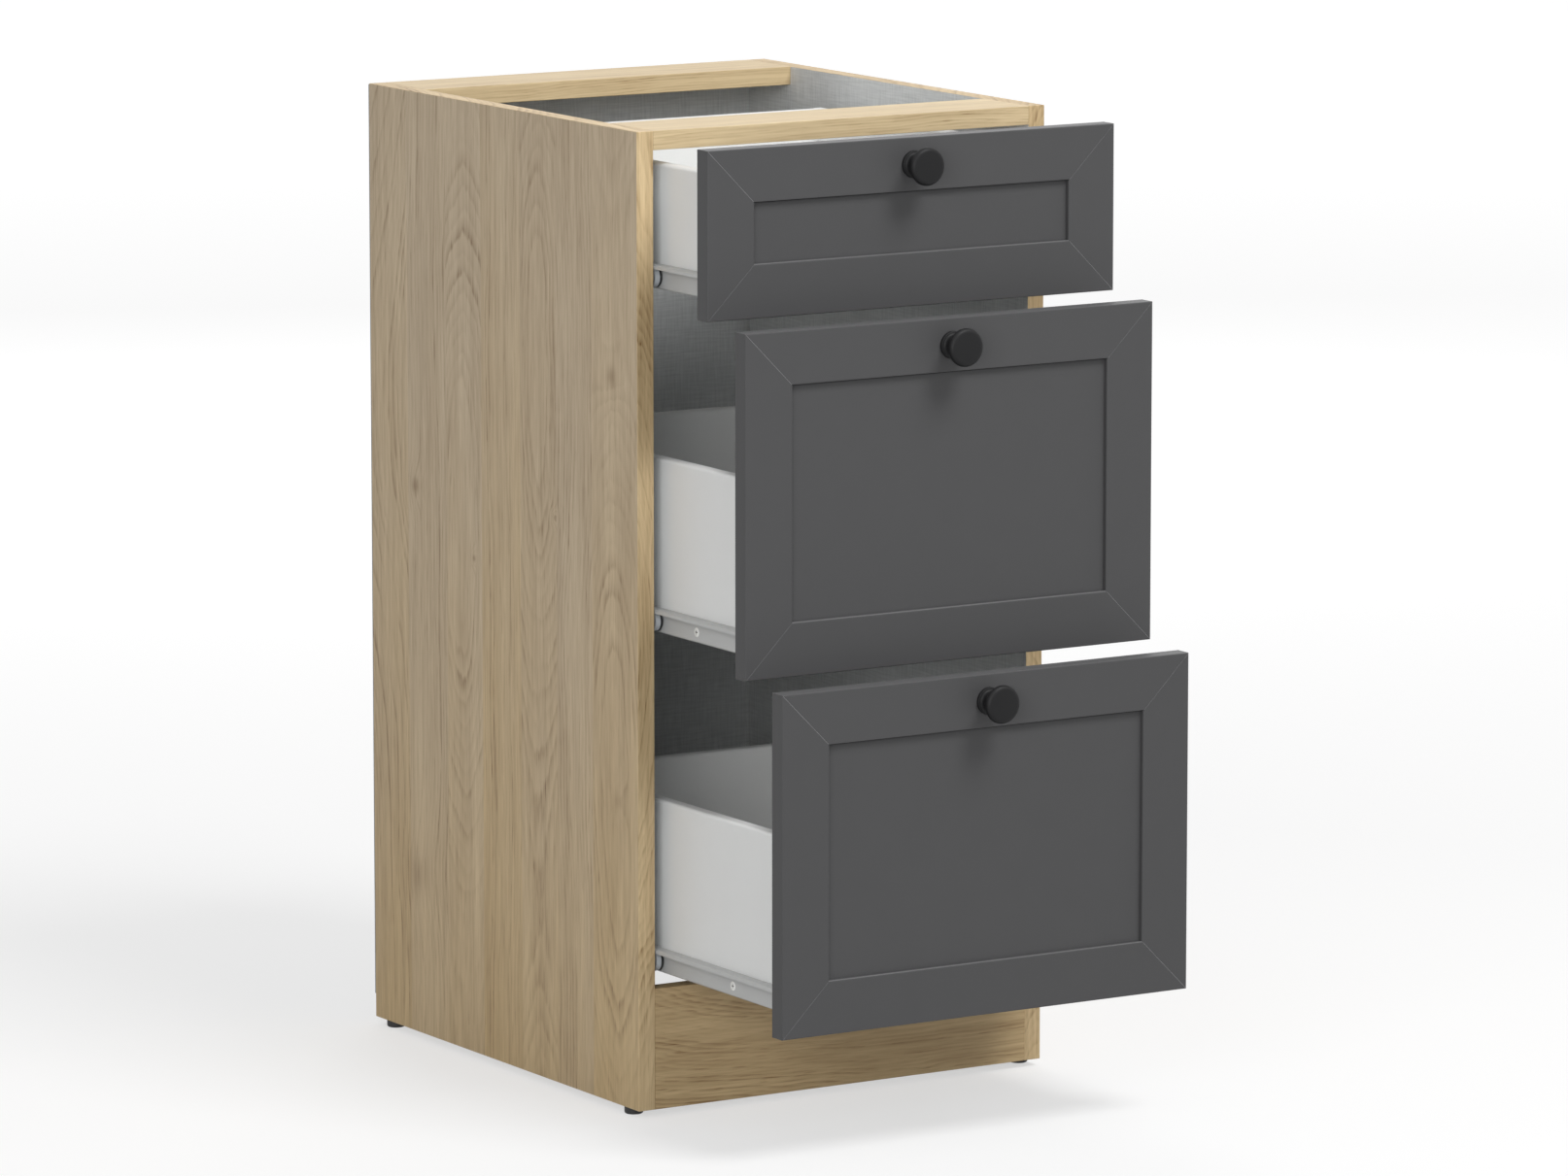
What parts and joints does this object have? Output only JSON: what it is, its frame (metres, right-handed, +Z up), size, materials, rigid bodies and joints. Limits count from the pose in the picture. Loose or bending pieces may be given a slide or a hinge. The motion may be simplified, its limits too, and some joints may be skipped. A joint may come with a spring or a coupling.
{
  "type": "kitchen base cabinet with drawers",
  "caption": "Narrow kitchen base cabinet: oak-effect carcass on glides, anthracite shaker drawer fronts with round knobs, white drawer boxes on roller runners, open top for a worktop.",
  "frame": {"origin": "on the floor under the middle of the object as it stands with its drawers part open", "axes": "+Z up, -Y out of the drawer fronts, +X to the right when facing the fronts"},
  "size_m": [0.4, 0.7046, 0.828],
  "materials": {
    "oak_laminate": "matt wood-print laminate",
    "grey_hardboard": "matt grey linen print",
    "anthracite_front": "matt foil-wrapped board",
    "black_knob": "matt black lacquer",
    "white_board": "matt white laminate",
    "white_hardboard": "smooth white lacquer",
    "grey_runner": "light grey epoxy",
    "nylon_roller": "light grey nylon",
    "black_plastic": "moulded black"
  },
  "bodies": {
    "carcass": {"left_side_panel": "oak_laminate", "right_side_panel": "oak_laminate", "front_top_rail": "oak_laminate", "rear_top_rail": "oak_laminate", "plinth_board": "oak_laminate", "back_panel": "grey_hardboard", "feet": "black_plastic", "top_cabinet_runner_left": "grey_runner", "top_cabinet_runner_right": "grey_runner", "middle_cabinet_runner_left": "grey_runner", "middle_cabinet_runner_right": "grey_runner", "bottom_cabinet_runner_left": "grey_runner", "bottom_cabinet_runner_right": "grey_runner"},
    "top_drawer": {"top_front_lower_rail": "anthracite_front", "top_front_upper_rail": "anthracite_front", "top_front_left_stile": "anthracite_front", "top_front_right_stile": "anthracite_front", "top_front_panel": "anthracite_front", "top_knob": "black_knob", "top_drawer_left_side": "white_board", "top_drawer_right_side": "white_board", "top_drawer_back": "white_board", "top_drawer_bottom": "white_hardboard", "top_drawer_runner_left": "grey_runner", "top_drawer_runner_right": "grey_runner"},
    "top_front_rollers": {"top_front_rollers": "nylon_roller"},
    "top_rear_rollers": {"top_rear_rollers": "nylon_roller"},
    "middle_drawer": {"middle_front_lower_rail": "anthracite_front", "middle_front_upper_rail": "anthracite_front", "middle_front_left_stile": "anthracite_front", "middle_front_right_stile": "anthracite_front", "middle_front_panel": "anthracite_front", "middle_knob": "black_knob", "middle_drawer_left_side": "white_board", "middle_drawer_right_side": "white_board", "middle_drawer_back": "white_board", "middle_drawer_bottom": "white_hardboard", "middle_drawer_runner_left": "grey_runner", "middle_drawer_runner_right": "grey_runner"},
    "middle_front_rollers": {"middle_front_rollers": "nylon_roller"},
    "middle_rear_rollers": {"middle_rear_rollers": "nylon_roller"},
    "bottom_drawer": {"bottom_front_lower_rail": "anthracite_front", "bottom_front_upper_rail": "anthracite_front", "bottom_front_left_stile": "anthracite_front", "bottom_front_right_stile": "anthracite_front", "bottom_front_panel": "anthracite_front", "bottom_knob": "black_knob", "bottom_drawer_left_side": "white_board", "bottom_drawer_right_side": "white_board", "bottom_drawer_back": "white_board", "bottom_drawer_bottom": "white_hardboard", "bottom_drawer_runner_left": "grey_runner", "bottom_drawer_runner_right": "grey_runner"},
    "bottom_front_rollers": {"bottom_front_rollers": "nylon_roller"},
    "bottom_rear_rollers": {"bottom_rear_rollers": "nylon_roller"}
  },
  "joints": [
    {"name": "top_drawer_slide", "type": "slide", "parent": "carcass", "child": "top_drawer", "axis": [0, -1, 0], "range_m": [-0.092, 0.208]},
    {"name": "top_front_roll", "type": "hinge", "parent": "carcass", "child": "top_front_rollers", "pos_m": [0, -0.09075, 0.706], "axis": [1, 0, 0], "continuous": true},
    {"name": "top_rear_roll", "type": "hinge", "parent": "top_drawer", "child": "top_rear_rollers", "pos_m": [0, 0.19025, 0.7053], "axis": [1, 0, 0], "continuous": true},
    {"name": "middle_drawer_slide", "type": "slide", "parent": "carcass", "child": "middle_drawer", "axis": [0, -1, 0], "range_m": [-0.151, 0.149]},
    {"name": "middle_front_roll", "type": "hinge", "parent": "carcass", "child": "middle_front_rollers", "pos_m": [0, -0.09075, 0.4185], "axis": [1, 0, 0], "continuous": true},
    {"name": "middle_rear_roll", "type": "hinge", "parent": "middle_drawer", "child": "middle_rear_rollers", "pos_m": [0, 0.13125, 0.4178], "axis": [1, 0, 0], "continuous": true},
    {"name": "bottom_drawer_slide", "type": "slide", "parent": "carcass", "child": "bottom_drawer", "axis": [0, -1, 0], "range_m": [-0.208, 0.092]},
    {"name": "bottom_front_roll", "type": "hinge", "parent": "carcass", "child": "bottom_front_rollers", "pos_m": [0, -0.09075, 0.131], "axis": [1, 0, 0], "continuous": true},
    {"name": "bottom_rear_roll", "type": "hinge", "parent": "bottom_drawer", "child": "bottom_rear_rollers", "pos_m": [0, 0.07425, 0.1303], "axis": [1, 0, 0], "continuous": true}
  ],
  "couplings": [
    {"joint": "top_front_roll", "follows": "top_drawer_slide", "rad_per_m": 108.7},
    {"joint": "top_rear_roll", "follows": "top_drawer_slide", "rad_per_m": 108.7},
    {"joint": "middle_front_roll", "follows": "middle_drawer_slide", "rad_per_m": 108.7},
    {"joint": "middle_rear_roll", "follows": "middle_drawer_slide", "rad_per_m": 108.7},
    {"joint": "bottom_front_roll", "follows": "bottom_drawer_slide", "rad_per_m": 108.7},
    {"joint": "bottom_rear_roll", "follows": "bottom_drawer_slide", "rad_per_m": 108.7}
  ]
}
